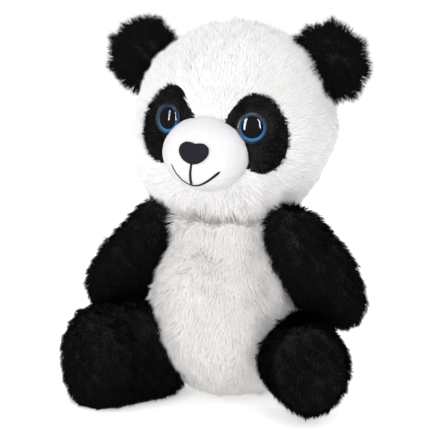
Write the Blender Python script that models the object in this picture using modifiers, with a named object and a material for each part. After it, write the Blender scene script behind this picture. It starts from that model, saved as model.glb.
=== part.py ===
"""A sitting plush panda: sewn pile-fabric panels over stuffing, with plastic safety eyes.

Metres, +Z up. The panda looks along -Y and its left side is at +X. The origin is on the
surface it sits on, under the middle of its bounding box.
"""

import math

import bmesh
import bpy
from mathutils import Matrix, Vector

# Cloth and clearances
CLOTH = 0.0020            # thickness of a panel, backing and the roots of its pile
SEAM_GAP = 0.0004         # between the edges of two panels that are sewn together
LAID_GAP = 0.0004         # between a piece and the surface it lies on
STUFFING_GAP = 0.0007     # between a panel and the stuffing behind it
JOINT_GAP = 0.0014        # between two bodies that flex against each other

# Torso
BODY_HEIGHT = 0.130
BODY_HALF_WIDTH = 0.055
BODY_DEPTH_RATIO = 0.86   # depth of the torso over its width
BODY_Y = -0.0105          # middle of the belly
BODY_LEAN = 0.016         # how far the neck lies behind the middle of the belly
BODY_TUCK = 0.034         # how far the seat lies behind the middle of the belly
BODY_SIDE_SEAM = 0.004    # side seam behind the torso's middle plane
YOKE_SEAM_HEIGHT = 0.084  # seam between the yoke and the lower back
SEAT_HALF_WIDTH = 0.028
SEAT_HALF_DEPTH = 0.021
SEAT_RISE = 0.007         # the seat panel's edge turns up by less than this
PELLET_BAG_HEIGHT = 0.016

# Neck
NECK_OPENING_RADIUS = 0.026
NECK_RADIUS = 0.019
NECK_HEIGHT = 0.0085
NECK_ROUNDNESS = 2.2      # 2 is an ellipsoid, and more is squarer

# Head
HEAD_HALF_WIDTH = 0.074
HEAD_FRONT = 0.059        # from the head's middle to the face
HEAD_BACK = 0.063         # from the head's middle to the back of the head
HEAD_UP = 0.077
HEAD_DOWN = 0.060
HEAD_JOWL = 2.6           # 2 is a round lower half, and more is a fuller one
HEAD_AHEAD = 0.012        # how far the neck lies ahead of the head's middle
HEAD_SIDE_SEAM = 0.006    # side seam behind the head's middle plane

# Face, measured from the middle of the head
FACE_ROLL = math.radians(3.5)
MUZZLE_Y = -0.055
MUZZLE_Z = -0.0090
MUZZLE_HALF_WIDTH = 0.0305
MUZZLE_HALF_DEPTH = 0.0265
MUZZLE_HALF_HEIGHT = 0.0264
NOSE_Z = 0.0046           # above the middle of the muzzle
NOSE_HALF_WIDTH = 0.0118
NOSE_HALF_HEIGHT = 0.0082
NOSE_THICKNESS = 0.0016
THREAD_RADIUS = 0.0007
SMILE_HALF_WIDTH = 0.0175
SMILE_DROP = 0.0120       # from the smile's ends to its lowest point
SMILE_Z = -0.0205         # the smile's lowest point, under the middle of the muzzle
EYE_BEARING = math.radians(34.4)   # direction of the eye from the middle of the muzzle
EYE_CLEARANCE = 0.0004    # between the eye and the muzzle, across the face
EYE_RADIUS = 0.0093
PUPIL_RADIUS = 0.0062
EYE_BACK_THICKNESS = 0.0018
LENS_RISE = 0.0052
LENS_WALL = 0.0009
POST_RADIUS = 0.0022
POST_LENGTH = 0.0130
WASHER_RADIUS = 0.0080
WASHER_THICKNESS = 0.0014
PATCH_X = 0.0360
PATCH_Z = 0.0070
PATCH_HALF_WIDTH = 0.0205
PATCH_HALF_HEIGHT = 0.0285
PATCH_TILT = math.radians(14)

# Ears
EAR_RISE = math.radians(36)    # direction of the ear from the middle of the head
EAR_BACK = 0.008               # how far the ear lies behind the head's middle plane
EAR_HALF_WIDTH = 0.0250
EAR_HALF_HEIGHT = 0.0235
EAR_HALF_THICKNESS = 0.0060
EAR_SEAT = 0.0165              # from the head's surface to the middle of the ear
EAR_GAP = 0.0022               # between the ear and the head, for the ear to fold in

# Arms
ARM_LENGTH = 0.0605            # from the shoulder's centre to the paw's centre
ARM_SPLAY = math.radians(31)
SHOULDER_RADIUS = 0.0160
PAW_RADIUS = 0.0182
ARM_BULGE = 0.0184             # half-width halfway down
SHOULDER_HEIGHT = 0.1285
SHOULDER_AHEAD = 0.0090        # ahead of the torso's middle at that height

# Legs
LEG_LENGTH = 0.0810
LEG_SPREAD = {"left": math.radians(31), "right": math.radians(32)}
LEG_RAISE = {"left": 0.0080, "right": 0.0}    # how far the leg sits off the floor
LEG_HALF_WIDTH = 0.0295        # at the sole
LEG_HALF_HEIGHT = 0.0335       # at the sole
HIP_INSET = 0.0115             # from the torso's widest side in to the hip
HIP_BACK = 0.0100              # behind the middle of the belly
SOLE_SEAM = 0.0045             # from the sole's face back to its seam

# Tail and label
TAIL_HEIGHT = 0.0240
TAIL_HALF_WIDTH = 0.0145
TAIL_HALF_LENGTH = 0.0150
LABEL_WIDTH = 0.0180
LABEL_LENGTH = 0.0240          # of the folded ribbon, outside the seam
LABEL_THICKNESS = 0.0005
LABEL_HEIGHT = 0.0240
LABEL_ANGLE = math.radians(52) # round from the left side to the back
LABEL_ROOM = 0.0012

SIDES = (("left", 1), ("right", -1))
BIG = 0.4


def clear_scene():
    for obj in list(bpy.data.objects):
        bpy.data.objects.remove(obj, do_unlink=True)


def new_collection(name):
    collection = bpy.data.collections.new(name)
    bpy.context.scene.collection.children.link(collection)
    return collection


clear_scene()
PARTS = new_collection("plush_panda")
CUTTERS = new_collection("cutters")


def material(name, colour, roughness, alpha):
    made = bpy.data.materials.new(name)
    made.use_nodes = True
    shader = made.node_tree.nodes["Principled BSDF"]
    shader.inputs["Base Color"].default_value = (*colour, 1.0)
    shader.inputs["Roughness"].default_value = roughness
    shader.inputs["Metallic"].default_value = 0.0
    shader.inputs["Alpha"].default_value = alpha
    made.diffuse_color = (*colour, alpha)
    return made


FINISHES = {
    "white_pile": ((0.86, 0.85, 0.84), 0.95),
    "black_pile": ((0.012, 0.012, 0.014), 0.92),
    "muzzle_velour": ((0.88, 0.87, 0.88), 0.85),
    "nose_felt": ((0.025, 0.026, 0.038), 0.70),
    "mouth_thread": ((0.035, 0.036, 0.045), 0.60),
    "blue_iris": ((0.030, 0.160, 0.420), 0.25),
    "black_pupil": ((0.004, 0.004, 0.005), 0.10),
    "clear_lens": ((0.90, 0.94, 1.00), 0.03),
    "washer_plastic": ((0.80, 0.80, 0.78), 0.50),
    "stuffing": ((0.92, 0.92, 0.91), 1.00),
    "pellet_bag_cloth": ((0.78, 0.77, 0.74), 0.90),
    "label_satin": ((0.90, 0.90, 0.88), 0.45),
}


def put(obj, finish):
    """Makes an object one of the panda's parts, in a material of its own."""
    for collection in list(obj.users_collection):
        collection.objects.unlink(obj)
    PARTS.objects.link(obj)
    colour, roughness = FINISHES[finish]
    alpha = 0.35 if finish == "clear_lens" else 1.0
    obj.data.materials.clear()
    obj.data.materials.append(material(obj.name, colour, roughness, alpha))
    return obj


def cutter(obj):
    for collection in list(obj.users_collection):
        collection.objects.unlink(obj)
    CUTTERS.objects.link(obj)
    obj.hide_render = True
    obj.display_type = "WIRE"
    return obj


def mesh_object(name, bm):
    bmesh.ops.recalc_face_normals(bm, faces=bm.faces)
    if bm.calc_volume(signed=True) < 0:
        bmesh.ops.reverse_faces(bm, faces=bm.faces)
    mesh = bpy.data.meshes.new(name)
    bm.to_mesh(mesh)
    bm.free()
    mesh.shade_smooth()
    return bpy.data.objects.new(name, mesh)


def ball(name, place, segments, rings):
    """A closed form: a unit sphere whose points are each moved by place()."""
    bm = bmesh.new()
    bmesh.ops.create_uvsphere(bm, u_segments=segments, v_segments=rings, radius=1.0)
    for vert in bm.verts:
        vert.co = place(vert.co.copy())
    return mesh_object(name, bm)


def box(name, low, high):
    bm = bmesh.new()
    bmesh.ops.create_cube(bm, size=1.0)
    for vert in bm.verts:
        for axis in range(3):
            vert.co[axis] = low[axis] if vert.co[axis] < 0 else high[axis]
    return cutter(mesh_object(name, bm))


def prism(name, outline, near, far, matrix):
    """An upright prism on a flat outline, from near to far along its own Z."""
    bm = bmesh.new()
    bmesh.ops.create_circle(bm, cap_ends=True, segments=len(outline), radius=1.0)
    for vert, point in zip(bm.verts, outline):
        vert.co = (point[0], point[1], near)
    made = bmesh.ops.extrude_face_region(bm, geom=bm.faces[:])
    for item in made["geom"]:
        if isinstance(item, bmesh.types.BMVert):
            item.co.z = far
    bmesh.ops.transform(bm, matrix=matrix, verts=bm.verts)
    return cutter(mesh_object(name, bm))


def boolean(obj, operation, other):
    modifier = obj.modifiers.new(f"{operation.lower()}_{other.name}", "BOOLEAN")
    modifier.operation = operation
    modifier.object = other
    return obj


def copy_of(name, source):
    made = bpy.data.objects.new(name, source.data.copy())
    made.matrix_world = source.matrix_world
    return made


def hang(name, point, words):
    """An empty on a joint's axis, with the pieces that turn about it as its children."""
    pivot = bpy.data.objects.new(name, None)
    pivot.empty_display_size = 0.01
    pivot.location = point
    PARTS.objects.link(pivot)
    for piece in PARTS.objects:
        if piece.type != "EMPTY" and any(piece.name.startswith(word) for word in words):
            piece.parent = pivot
            piece.matrix_parent_inverse = Matrix.Translation(point).inverted()
    return pivot


def panel(name, outer, inner, keep, cuts, finish):
    """A piece of the shell between two forms: inside every keep, outside every cut."""
    made = put(copy_of(name, outer), finish)
    boolean(made, "DIFFERENCE", inner)
    for region in keep:
        boolean(made, "INTERSECT", region)
    for region in cuts:
        boolean(made, "DIFFERENCE", region)
    return made


def smooth_profile(knots, count):
    """Points at even steps of length along a smooth line through (radius, height) knots."""
    points = [Vector((r, h)) for r, h in knots]
    ends = [2 * points[0] - points[1], *points, 2 * points[-1] - points[-2]]
    fine = []
    for i in range(1, len(ends) - 2):
        a, b, c, d = ends[i - 1:i + 3]
        for step in range(12):
            t = step / 12
            fine.append(0.5 * (2 * b + (c - a) * t + (2 * a - 5 * b + 4 * c - d) * t * t
                               + (3 * b - a - 3 * c + d) * t ** 3))
    fine.append(points[-1])
    lengths = [0.0]
    for a, b in zip(fine, fine[1:]):
        lengths.append(lengths[-1] + (b - a).length)
    found = []
    for i in range(count + 1):
        want = lengths[-1] * i / count
        k = max(j for j in range(len(fine)) if lengths[j] <= want + 1e-12)
        k = min(k, len(fine) - 2)
        share = (want - lengths[k]) / (lengths[k + 1] - lengths[k])
        found.append(fine[k].lerp(fine[k + 1], share))
    return found


def inset_profile(points, inset):
    """The profile moved square to itself towards its axis; both ends stay on the axis."""
    moved = []
    for i, point in enumerate(points):
        before = points[max(i - 1, 0)]
        after = points[min(i + 1, len(points) - 1)]
        along = (after - before).normalized()
        if i in (0, len(points) - 1):
            along = Vector((1.0 if i == 0 else -1.0, 0.0))
        moved.append(point + Vector((-along.y, along.x)) * inset)
    moved[0].x = 0.0
    moved[-1].x = 0.0
    return moved


def pod(name, knots, inset, place, segments, rings):
    """A turned form with any cross-section: place(radius, height, cos, sin) sets each point."""
    points = inset_profile(smooth_profile(knots, rings), inset)

    def at(unit):
        ring = round((1 - math.acos(max(-1.0, min(1.0, unit.z))) / math.pi) * rings)
        flat = math.hypot(unit.x, unit.y)
        cos, sin = (unit.x / flat, unit.y / flat) if flat > 1e-6 else (1.0, 0.0)
        return place(points[ring].x, points[ring].y, cos, sin)

    return ball(name, at, segments, rings)


# ---------------------------------------------------------------- torso

BODY_KNOTS = (
    (0.0, 0.0),
    (0.49 * BODY_HALF_WIDTH, 0.0),
    (0.70 * BODY_HALF_WIDTH, 0.055 * BODY_HEIGHT),
    (0.89 * BODY_HALF_WIDTH, 0.20 * BODY_HEIGHT),
    (1.00 * BODY_HALF_WIDTH, 0.45 * BODY_HEIGHT),
    (0.94 * BODY_HALF_WIDTH, 0.66 * BODY_HEIGHT),
    (0.79 * BODY_HALF_WIDTH, 0.84 * BODY_HEIGHT),
    (0.66 * BODY_HALF_WIDTH, 0.945 * BODY_HEIGHT),
    (0.40 * BODY_HALF_WIDTH, 0.995 * BODY_HEIGHT),
    (0.0, BODY_HEIGHT),
)


def body_middle(height):
    """Y of the torso's middle at a height: the belly bulges ahead of the neck and the seat."""
    low = max(0.0, 1 - height / (0.40 * BODY_HEIGHT))
    return BODY_Y + BODY_LEAN * (height / BODY_HEIGHT) ** 2 + BODY_TUCK * low ** 2


def body_half_width(height):
    profile = smooth_profile(BODY_KNOTS, 60)
    widest = max(profile, key=lambda p: p.x)
    rows = [p for p in profile if (p.y - widest.y) * (height - widest.y) >= 0]
    return min(rows, key=lambda p: abs(p.y - height)).x


def body_form(name, inset):
    def place(radius, height, cos, sin):
        y = body_middle(height) + radius * sin * BODY_DEPTH_RATIO
        return Vector((radius * cos, y, max(height, inset) if inset >= 0 else height))

    return cutter(pod(name, BODY_KNOTS, inset, place, 24, 15))


def make_torso():
    outer = body_form("torso_form", 0.0)
    inner = body_form("torso_lining_form", CLOTH)
    neck_y = body_middle(BODY_HEIGHT)
    round_edge = [(NECK_OPENING_RADIUS * math.cos(a), NECK_OPENING_RADIUS * math.sin(a))
                  for a in (math.tau * i / 24 for i in range(24))]
    neck_hole = prism("torso_neck_hole", round_edge, 0.8 * BODY_HEIGHT, BIG,
                      Matrix.Translation((0, neck_y, 0)))

    def seat_edge(grow):
        half_width = SEAT_HALF_WIDTH + grow
        half_depth = SEAT_HALF_DEPTH + grow
        return [(half_width * math.cos(a), half_depth * math.sin(a))
                for a in (math.tau * i / 28 for i in range(28))]

    seat_at = Matrix.Translation((0, body_middle(0), 0))
    seat_region = prism("seat_region", seat_edge(0), -0.02, SEAT_RISE, seat_at)
    seat_hole = prism("seat_hole", seat_edge(SEAM_GAP), -0.02, SEAT_RISE, seat_at)
    seam_y = BODY_Y + BODY_SIDE_SEAM
    half = SEAM_GAP / 2
    front = box("torso_front_region", (-BIG, -BIG, -BIG), (BIG, seam_y - half, BIG))
    back_low = box("torso_back_low_region", (-BIG, seam_y + half, -BIG),
                   (BIG, BIG, YOKE_SEAM_HEIGHT - half))
    back_high = box("torso_back_high_region", (-BIG, seam_y + half, YOKE_SEAM_HEIGHT + half),
                    (BIG, BIG, BIG))
    holes = [neck_hole, seat_hole]
    panel("belly_panel", outer, inner, [front], holes, "white_pile")
    panel("lower_back_panel", outer, inner, [back_low], [seat_hole], "white_pile")
    panel("back_yoke", outer, inner, [back_high], [neck_hole], "black_pile")
    panel("seat_panel", outer, inner, [seat_region], [], "white_pile")

    stuffing_inset = CLOTH + STUFFING_GAP
    bag_top = stuffing_inset + PELLET_BAG_HEIGHT
    below = box("bag_space", (-BIG, -BIG, -BIG), (BIG, BIG, bag_top + STUFFING_GAP))
    core = put(copy_of("body_stuffing", body_form("torso_core", stuffing_inset)), "stuffing")
    boolean(core, "DIFFERENCE", below)

    def bag_place(unit):
        k = 1 / (math.hypot(unit.x, unit.y) ** 4 + abs(unit.z) ** 4) ** 0.25
        height = stuffing_inset + PELLET_BAG_HEIGHT / 2 * (1 + unit.z * k)
        return Vector((unit.x * k * 1.04 * SEAT_HALF_WIDTH,
                       body_middle(height) + unit.y * k * 1.04 * SEAT_HALF_DEPTH, height))

    put(ball("seat_pellet_bag", bag_place, 20, 8), "pellet_bag_cloth")


def torso_reach(start, along, height):
    """Distance from a point in the torso to its surface, level with the floor at a height."""
    squash = Vector((1, 1 / BODY_DEPTH_RATIO))
    place = Vector((start.x, start.y - body_middle(height))) * squash
    step = Vector((along.x, along.y)) * squash
    ahead = place.dot(step)
    beyond = body_half_width(height) ** 2 - place.dot(place)
    return (math.sqrt(ahead ** 2 + step.dot(step) * beyond) - ahead) / step.dot(step)


def torso_back(angle, height):
    """A point on the torso's surface, by its angle round from the left side to the back."""
    rim = Vector((math.cos(angle), math.sin(angle) * BODY_DEPTH_RATIO, 0))
    return Vector((0, body_middle(height), height)) + rim * body_half_width(height)


def make_tail():
    root = torso_back(math.radians(90), TAIL_HEIGHT)
    tilt = Matrix.Rotation(math.radians(-20), 3, "X")

    def place(unit):
        swell = 1 + 0.25 * unit.y
        local = Vector((unit.x * TAIL_HALF_WIDTH * swell, unit.y * TAIL_HALF_LENGTH,
                        unit.z * 0.8 * TAIL_HALF_WIDTH * swell))
        return root + Vector((0, 0.45 * TAIL_HALF_LENGTH, 0)) + tilt @ local

    tail = put(ball("tail", place, 16, 9), "white_pile")
    boolean(tail, "DIFFERENCE", body_form("torso_form_for_tail", -LAID_GAP))


def make_label():
    """A blank ribbon, folded in two, that hangs out of the torso's left side seam."""
    root = torso_back(LABEL_ANGLE, LABEL_HEIGHT)
    out = Vector((math.cos(LABEL_ANGLE), math.sin(LABEL_ANGLE), 0))
    round_body = Vector((-out.y, out.x, 0))
    bm = bmesh.new()
    bmesh.ops.create_grid(bm, x_segments=1, y_segments=12, size=1.0)
    for vert in bm.verts:
        along = vert.co.y
        reach = 1 - abs(along)
        fold = 0.0007 * (1 if along > 0 else -1) * min(1.0, 3 * abs(along))
        drop = LABEL_LENGTH * 0.45 * reach ** 2
        vert.co = (root + out * (LABEL_ROOM + reach * LABEL_LENGTH)
                   + round_body * (0.5 * vert.co.x * LABEL_WIDTH) + Vector((0, 0, fold - drop)))
    label = put(mesh_object("care_label", bm), "label_satin")
    solidify = label.modifiers.new("ribbon", "SOLIDIFY")
    solidify.thickness = LABEL_THICKNESS
    solidify.offset = 0


# ---------------------------------------------------------------- head

NECK_TOP = BODY_HEIGHT - CLOTH - STUFFING_GAP + JOINT_GAP / 2 + NECK_HEIGHT
HEAD_BOTTOM = NECK_TOP + JOINT_GAP / 2 - CLOTH - STUFFING_GAP
HEAD_MIDDLE = Vector((0, body_middle(BODY_HEIGHT) + HEAD_AHEAD, HEAD_BOTTOM + HEAD_DOWN))


def head_point(unit, inset):
    flat = math.hypot(unit.x, unit.y)
    fullness = HEAD_JOWL if unit.z < 0 else 2.0
    k = 1 / (flat ** fullness + abs(unit.z) ** fullness) ** (1 / fullness)
    deep = HEAD_FRONT if unit.y < 0 else HEAD_BACK
    tall = HEAD_DOWN if unit.z < 0 else HEAD_UP
    return HEAD_MIDDLE + Vector((unit.x * k * (HEAD_HALF_WIDTH - inset),
                                 unit.y * k * (deep - inset),
                                 unit.z * k * (tall - inset)))


def head_form(name, inset):
    return cutter(ball(name, lambda unit: head_point(unit, inset), 28, 16))


def on_face(x, z):
    """The face's point at x and z from the middle of the head, after the face's roll."""
    rolled_x = x * math.cos(FACE_ROLL) + z * math.sin(FACE_ROLL)
    rolled_z = z * math.cos(FACE_ROLL) - x * math.sin(FACE_ROLL)
    tall = HEAD_DOWN if rolled_z < 0 else HEAD_UP
    fullness = HEAD_JOWL if rolled_z < 0 else 2.0
    ring = (1 - (abs(rolled_z) / tall) ** fullness) ** (2 / fullness)
    y = -HEAD_FRONT * math.sqrt(ring - (rolled_x / HEAD_HALF_WIDTH) ** 2)
    return HEAD_MIDDLE + Vector((rolled_x, y, rolled_z))


def face_normal(x, z):
    step = 0.001
    across = on_face(x + step, z) - on_face(x - step, z)
    upward = on_face(x, z + step) - on_face(x, z - step)
    return across.cross(upward).normalized()


def eye_place(side):
    """The eye's x and z from the middle of the head: just clear of the muzzle's outline."""
    across = math.cos(EYE_BEARING)
    upward = math.sin(EYE_BEARING)
    outline = 1 / math.hypot(across / MUZZLE_HALF_WIDTH, upward / MUZZLE_HALF_HEIGHT)
    reach = outline + EYE_CLEARANCE + EYE_RADIUS
    return side * reach * across, MUZZLE_Z + reach * upward


def facing(point, normal):
    """Placement whose own Z runs along the normal and whose own Y points up the face."""
    up = Vector((math.sin(FACE_ROLL), 0, math.cos(FACE_ROLL)))
    across = up.cross(normal).normalized()
    upward = normal.cross(across)
    made = Matrix((across, upward, normal)).transposed().to_4x4()
    made.translation = point
    return made


MUZZLE_MIDDLE = HEAD_MIDDLE + Vector((MUZZLE_Z * math.sin(FACE_ROLL), MUZZLE_Y,
                                      MUZZLE_Z * math.cos(FACE_ROLL)))


def muzzle_point(x, z, grow):
    """The muzzle's front surface at x and z from its middle, moved out by grow."""
    share = (x / (MUZZLE_HALF_WIDTH + grow)) ** 2 + (z / (MUZZLE_HALF_HEIGHT + grow)) ** 2
    y = -(MUZZLE_HALF_DEPTH + grow) * math.sqrt(max(0.0, 1 - share))
    roll = Matrix.Rotation(FACE_ROLL, 3, "Y")
    return MUZZLE_MIDDLE + roll @ Vector((x, y, z))


def muzzle_form(name, inset):
    roll = Matrix.Rotation(FACE_ROLL, 3, "Y")

    def place(unit):
        return MUZZLE_MIDDLE + roll @ Vector((unit.x * (MUZZLE_HALF_WIDTH - inset),
                                              unit.y * (MUZZLE_HALF_DEPTH - inset),
                                              unit.z * (MUZZLE_HALF_HEIGHT - inset)))

    return cutter(ball(name, place, 24, 12))


def patch_outline(side, grow):
    """An upright oval that leans out at its foot, with a lobe that runs in to the muzzle."""
    points = []
    for i in range(28):
        angle = math.tau * i / 28
        lobe = math.exp(-((angle - math.radians(152)) / 0.42) ** 2)
        x = math.cos(angle) * (PATCH_HALF_WIDTH * (1 + 0.22 * lobe) + grow)
        y = math.sin(angle) * (PATCH_HALF_HEIGHT * (1 - 0.06 * lobe) + grow)
        turned_x = x * math.cos(PATCH_TILT) - y * math.sin(PATCH_TILT)
        turned_y = x * math.sin(PATCH_TILT) + y * math.cos(PATCH_TILT)
        points.append((side * turned_x, turned_y))
    return points if side > 0 else points[::-1]


def ring_of(radius, count=20):
    return [(radius * math.cos(math.tau * i / count), radius * math.sin(math.tau * i / count))
            for i in range(count)]


def make_head():
    outer = head_form("head_form", 0.0)
    inner = head_form("head_lining_form", CLOTH)
    muzzle_hole = muzzle_form("muzzle_hole", -SEAM_GAP)
    neck_at = Matrix.Translation((0, body_middle(BODY_HEIGHT), 0))
    neck_hole = prism("head_neck_hole", ring_of(NECK_OPENING_RADIUS, 24), 0.0,
                      HEAD_MIDDLE.z - HEAD_DOWN / 2, neck_at)
    seam_y = HEAD_MIDDLE.y + HEAD_SIDE_SEAM
    half = SEAM_GAP / 2
    stuffing = put(copy_of("head_stuffing", head_form("head_core", CLOTH + STUFFING_GAP)),
                   "stuffing")
    for word, side in SIDES:
        patch_at = facing(on_face(side * PATCH_X, PATCH_Z), face_normal(side * PATCH_X, PATCH_Z))
        region = prism(f"{word}_patch_region", patch_outline(side, 0), -0.02, 0.03, patch_at)
        opening = prism(f"{word}_patch_hole", patch_outline(side, SEAM_GAP), -0.02, 0.03,
                        patch_at)
        eye_at = facing(on_face(*eye_place(side)), face_normal(*eye_place(side)))
        post_hole = prism(f"{word}_post_hole", ring_of(POST_RADIUS + LAID_GAP), -0.012, 0.01,
                          eye_at)
        pocket = prism(f"{word}_washer_pocket", ring_of(WASHER_RADIUS + STUFFING_GAP),
                       -POST_LENGTH - 0.0015, 0.01, eye_at)
        panel(f"{word}_eye_patch", outer, inner, [region], [muzzle_hole, post_hole],
              "black_pile")
        low, high = sorted((side * half, side * BIG))
        front = box(f"{word}_face_region", (low, -BIG, -BIG), (high, seam_y - half, BIG))
        back = box(f"{word}_head_back_region", (low, seam_y + half, -BIG), (high, BIG, BIG))
        panel(f"{word}_face_panel", outer, inner, [front], [muzzle_hole, opening, neck_hole],
              "white_pile")
        panel(f"{word}_head_back_panel", outer, inner, [back], [neck_hole], "white_pile")
        boolean(stuffing, "DIFFERENCE", pocket)
        make_eye(word, eye_at)


def turned(name, profile, matrix, segments, finish):
    """A turned piece: its profile runs down its outer side, on its own Z."""
    bm = bmesh.new()
    verts = [bm.verts.new((radius, 0, height)) for radius, height in profile]
    for a, b in zip(verts, verts[1:]):
        bm.edges.new((a, b))
    mesh = bpy.data.meshes.new(name)
    bm.to_mesh(mesh)
    bm.free()
    made = put(bpy.data.objects.new(name, mesh), finish)
    made.matrix_world = matrix
    screw = made.modifiers.new("turn", "SCREW")
    screw.steps = segments
    screw.render_steps = segments
    screw.use_merge_vertices = True
    screw.merge_threshold = 0.00001
    return made


def make_eye(word, matrix):
    """A safety eye: coloured back with its post, pupil, clear lens and locking washer."""
    back_low = LAID_GAP
    back_high = back_low + EYE_BACK_THICKNESS
    pupil_high = back_high + LAID_GAP + 0.0016
    turned(f"{word}_eye_back", [
        (0, back_high), (EYE_RADIUS - 0.0006, back_high), (EYE_RADIUS, back_high - 0.0006),
        (EYE_RADIUS, back_low), (POST_RADIUS, back_low), (POST_RADIUS, 0.0012 - POST_LENGTH),
        (POST_RADIUS - 0.0012, -POST_LENGTH), (0, -POST_LENGTH)], matrix, 20, "blue_iris")
    turned(f"{word}_pupil", [
        (0, pupil_high), (0.6 * PUPIL_RADIUS, pupil_high - 0.0003),
        (PUPIL_RADIUS, back_high + LAID_GAP), (0, back_high + LAID_GAP)],
        matrix, 20, "black_pupil")
    lens_low = back_high + LAID_GAP
    steps = 4

    def dome(radius, rise):
        angles = [math.pi / 2 * i / steps for i in range(steps + 1)]
        return [(radius * math.sin(a), lens_low + rise * math.cos(a)) for a in angles]

    outer = dome(EYE_RADIUS, LENS_RISE - EYE_BACK_THICKNESS)
    inner = dome(EYE_RADIUS - LENS_WALL, LENS_RISE - EYE_BACK_THICKNESS - LENS_WALL)
    outer[0] = (0, outer[0][1])
    inner[0] = (0, inner[0][1])
    turned(f"{word}_eye_lens", outer + inner[::-1], matrix, 20, "clear_lens")
    washer_high = -CLOTH - 0.0012
    washer_low = washer_high - WASHER_THICKNESS
    hole = POST_RADIUS + LAID_GAP
    turned(f"{word}_eye_washer", [
        (hole, washer_high), (WASHER_RADIUS, washer_high), (WASHER_RADIUS, washer_low),
        (hole, washer_low), (hole, washer_high)], matrix, 20, "washer_plastic")


def make_muzzle():
    outer = muzzle_form("muzzle_form", 0.0)
    inner = muzzle_form("muzzle_lining_form", CLOTH)
    head = head_form("head_form_for_muzzle", -SEAM_GAP)
    panel("muzzle_cover", outer, inner, [], [head], "muzzle_velour")
    core = put(copy_of("muzzle_stuffing", muzzle_form("muzzle_core", CLOTH + STUFFING_GAP)),
               "stuffing")
    boolean(core, "DIFFERENCE", head_form("head_form_for_core", -STUFFING_GAP))

    outline = []
    for i in range(24):
        angle = math.tau * i / 24
        x = math.cos(angle)
        y = math.sin(angle)
        narrow = 1 - 0.30 * (1 - y) / 2
        dip = 0.16 * math.exp(-(x / 0.38) ** 2) if y > 0 else 0.0
        outline.append((x * narrow * NOSE_HALF_WIDTH, (y - dip) * NOSE_HALF_HEIGHT))
    nose_at = facing(muzzle_point(0, NOSE_Z, 0), Vector((0, -1, 0)))
    region = prism("nose_region", outline, -0.02, 0.02, nose_at)
    nose = put(copy_of("nose", muzzle_form("nose_face", -LAID_GAP - NOSE_THICKNESS)),
               "nose_felt")
    boolean(nose, "DIFFERENCE", muzzle_form("nose_seat", -LAID_GAP))
    boolean(nose, "INTERSECT", region)

    lift = LAID_GAP + THREAD_RADIUS + 0.0003
    nose_low = NOSE_Z - NOSE_HALF_HEIGHT
    smile = []
    for i in range(13):
        share = 2 * i / 12 - 1
        smile.append(muzzle_point(share * SMILE_HALF_WIDTH, SMILE_Z + SMILE_DROP * share ** 2,
                                  lift))
    thread("smile_thread", smile)
    top = nose_low - 0.0012
    low = SMILE_Z + 2 * THREAD_RADIUS + 0.0006
    thread("lip_thread", [muzzle_point(0, top + (low - top) * i / 5, lift) for i in range(6)])


def thread(name, points):
    curve = bpy.data.curves.new(name, "CURVE")
    curve.dimensions = "3D"
    curve.bevel_depth = THREAD_RADIUS
    curve.bevel_resolution = 2
    curve.use_fill_caps = True
    spline = curve.splines.new("POLY")
    spline.points.add(len(points) - 1)
    for point, place in zip(spline.points, points):
        point.co = (*place, 1)
    return put(bpy.data.objects.new(name, curve), "mouth_thread")


def make_neck():
    """The stuffing that fills the neck, between the two neck openings."""
    bottom = BODY_HEIGHT - CLOTH - STUFFING_GAP + JOINT_GAP / 2
    middle = Vector((0, body_middle(BODY_HEIGHT), bottom + NECK_HEIGHT / 2))

    def place(unit):
        flat = math.hypot(unit.x, unit.y)
        k = (flat ** NECK_ROUNDNESS + abs(unit.z) ** NECK_ROUNDNESS) ** (-1 / NECK_ROUNDNESS)
        return middle + Vector((unit.x * k * NECK_RADIUS, unit.y * k * NECK_RADIUS,
                                unit.z * k * NECK_HEIGHT / 2))

    put(ball("neck_stuffing", place, 20, 8), "stuffing")
    hang("neck_turn_pivot", middle, ["neck_stuffing"])


def hang_head():
    nod = Vector((0, body_middle(BODY_HEIGHT), NECK_TOP + JOINT_GAP / 2))
    pieces = ["head", "muzzle", "nose", "lip", "smile"]
    for word, _ in SIDES:
        pieces += [f"{word}_face", f"{word}_head", f"{word}_eye", f"{word}_pupil"]
    hang("head_nod_pivot", nod, pieces)


def make_ears():
    for word, side in SIDES:
        outward = Vector((side * math.cos(EAR_RISE), 0, math.sin(EAR_RISE)))
        along = Vector((-side * math.sin(EAR_RISE), 0, math.cos(EAR_RISE)))
        shift = math.sqrt(1 - (EAR_BACK / HEAD_BACK) ** 2)
        reach = shift / math.sqrt((outward.x / HEAD_HALF_WIDTH) ** 2 + (outward.z / HEAD_UP) ** 2)
        root = HEAD_MIDDLE + outward * reach + Vector((0, EAR_BACK, 0))
        middle = root + outward * EAR_SEAT

        def place(unit, middle=middle, outward=outward, along=along):
            return (middle + along * unit.x * EAR_HALF_WIDTH + outward * unit.z * EAR_HALF_HEIGHT
                    + Vector((0, 1, 0)) * unit.y * EAR_HALF_THICKNESS)

        form = cutter(ball(f"{word}_ear_form", place, 24, 10))
        head = head_form(f"head_form_for_{word}_ear", -EAR_GAP)
        half = SEAM_GAP / 2
        front = box(f"{word}_ear_front_region", (-BIG, -BIG, -BIG),
                    (BIG, root.y - half, BIG))
        back = box(f"{word}_ear_back_region", (-BIG, root.y + half, -BIG), (BIG, BIG, BIG))
        for piece, region in (("front", front), ("back", back)):
            ear = put(copy_of(f"{word}_ear_{piece}", form), "black_pile")
            boolean(ear, "INTERSECT", region)
            boolean(ear, "DIFFERENCE", head)
        hang(f"{word}_ear_pivot", root, [f"{word}_ear"])


# ---------------------------------------------------------------- limbs

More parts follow.
